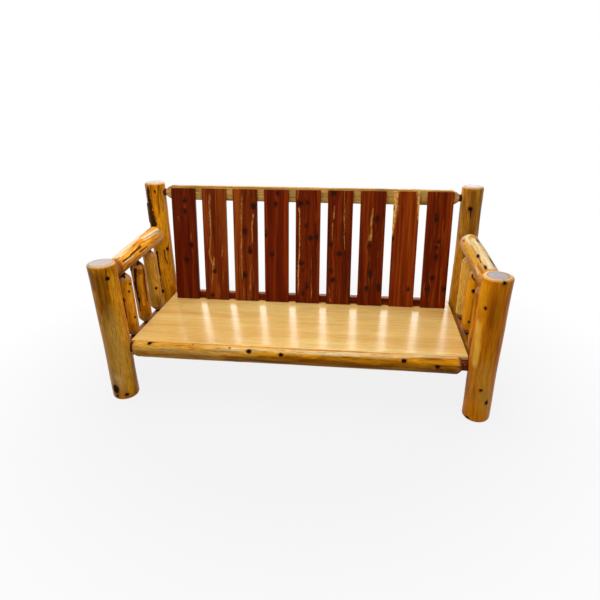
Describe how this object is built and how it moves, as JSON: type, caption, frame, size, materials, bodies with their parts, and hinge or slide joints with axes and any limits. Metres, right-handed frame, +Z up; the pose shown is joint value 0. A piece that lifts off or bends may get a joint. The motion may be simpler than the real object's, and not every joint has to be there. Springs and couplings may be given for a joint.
{
  "type": "log sofa",
  "caption": "Rustic sofa frame of peeled cedar logs joined by round tenons, with a plywood seat deck, spindled log arms and a leaning back of red cedar boards.",
  "frame": {"origin": "on the floor, under the centre of the sofa's bounding box", "axes": "+X towards the sofa's right end as seen from its front, +Y from the seat towards the back, +Z up; the seat faces -Y"},
  "size_m": [1.8755, 0.8019, 0.956],
  "materials": {
    "peeled_cedar": "varnished, glossy",
    "red_cedar": "planed and varnished, satin to gloss",
    "plywood": "sanded and varnished, glossy"
  },
  "bodies": {
    "root": {"front_left_post": "peeled_cedar", "front_right_post": "peeled_cedar", "rear_left_post": "peeled_cedar", "rear_right_post": "peeled_cedar", "left_side_rail": "peeled_cedar", "right_side_rail": "peeled_cedar", "left_arm_rail": "peeled_cedar", "right_arm_rail": "peeled_cedar", "left_spindle_1": "peeled_cedar", "left_spindle_2": "peeled_cedar", "left_spindle_3": "peeled_cedar", "right_spindle_1": "peeled_cedar", "right_spindle_2": "peeled_cedar", "right_spindle_3": "peeled_cedar", "front_seat_rail": "peeled_cedar", "rear_seat_rail": "peeled_cedar", "top_back_rail": "peeled_cedar", "seat_bearer_1": "peeled_cedar", "seat_bearer_2": "peeled_cedar", "seat_deck": "plywood", "back_cleat": "red_cedar", "back_board_1": "red_cedar", "back_board_2": "red_cedar", "back_board_3": "red_cedar", "back_board_4": "red_cedar", "back_board_5": "red_cedar", "back_board_6": "red_cedar", "back_board_7": "red_cedar", "back_board_8": "red_cedar", "back_board_9": "red_cedar"}
  },
  "joints": []
}
